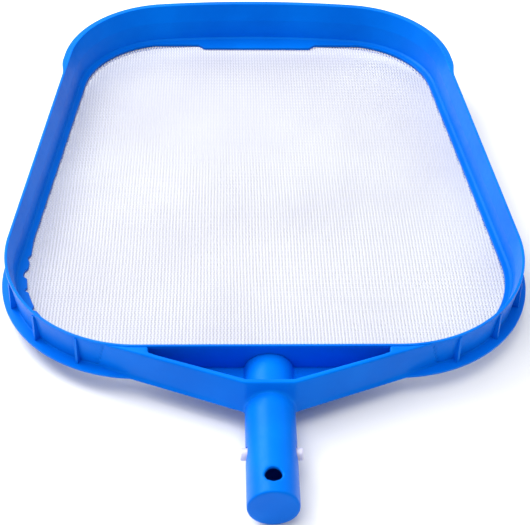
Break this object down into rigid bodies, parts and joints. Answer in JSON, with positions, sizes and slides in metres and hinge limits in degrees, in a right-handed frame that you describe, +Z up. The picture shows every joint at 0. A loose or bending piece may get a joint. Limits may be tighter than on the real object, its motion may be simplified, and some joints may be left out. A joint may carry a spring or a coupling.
{
  "type": "leaf skimmer net",
  "caption": "Shallow leaf skimmer net: a tapered blue tray frame with a taut white mesh floor and a handle stub with sprung snap buttons for a telescopic pole.",
  "frame": {"origin": "under the middle of the whole net, level with the lowest point of the handle stub", "axes": "+Y from the pole stub to the leading edge, +Z up out of the open tray, +X to the right of someone holding the pole"},
  "size_m": [0.2854, 0.404, 0.0395],
  "materials": {
    "blue_plastic": "glossy injection-moulded plastic",
    "net_fabric": "fine white knitted mesh",
    "clip_plastic": "translucent natural white plastic"
  },
  "bodies": {
    "frame": {"cross_bar": "blue_plastic", "rear_left_corner": "blue_plastic", "rear_right_corner": "blue_plastic", "left_side_wall": "blue_plastic", "right_side_wall": "blue_plastic", "front_left_corner": "blue_plastic", "front_right_corner": "blue_plastic", "leading_edge_wall": "blue_plastic", "foot_flange": "blue_plastic", "gusset_ribs": "blue_plastic", "left_yoke_arm": "blue_plastic", "right_yoke_arm": "blue_plastic", "yoke_nose": "blue_plastic", "left_pocket_floor": "blue_plastic", "right_pocket_floor": "blue_plastic", "stub_end": "blue_plastic", "stub_barrel": "blue_plastic", "stub_root": "blue_plastic", "mesh_net": "net_fabric", "mesh_retaining_ring": "blue_plastic", "clip_bend": "clip_plastic"},
    "left_clip": {"left_clip_leg": "clip_plastic", "left_snap_button": "clip_plastic"},
    "right_clip": {"right_clip_leg": "clip_plastic", "right_snap_button": "clip_plastic"}
  },
  "joints": [
    {"name": "left_button_press", "type": "hinge", "parent": "frame", "child": "left_clip", "pos_m": [-0.003, -0.134, 0.0125], "axis": [0, 0, 1], "range_deg": [0, 4.5], "stiffness_Nm_per_rad": 2, "springref_deg": -5.73},
    {"name": "right_button_press", "type": "hinge", "parent": "frame", "child": "right_clip", "pos_m": [0.003, -0.134, 0.0125], "axis": [0, 0, -1], "range_deg": [0, 4.5], "stiffness_Nm_per_rad": 2, "springref_deg": -5.73}
  ]
}
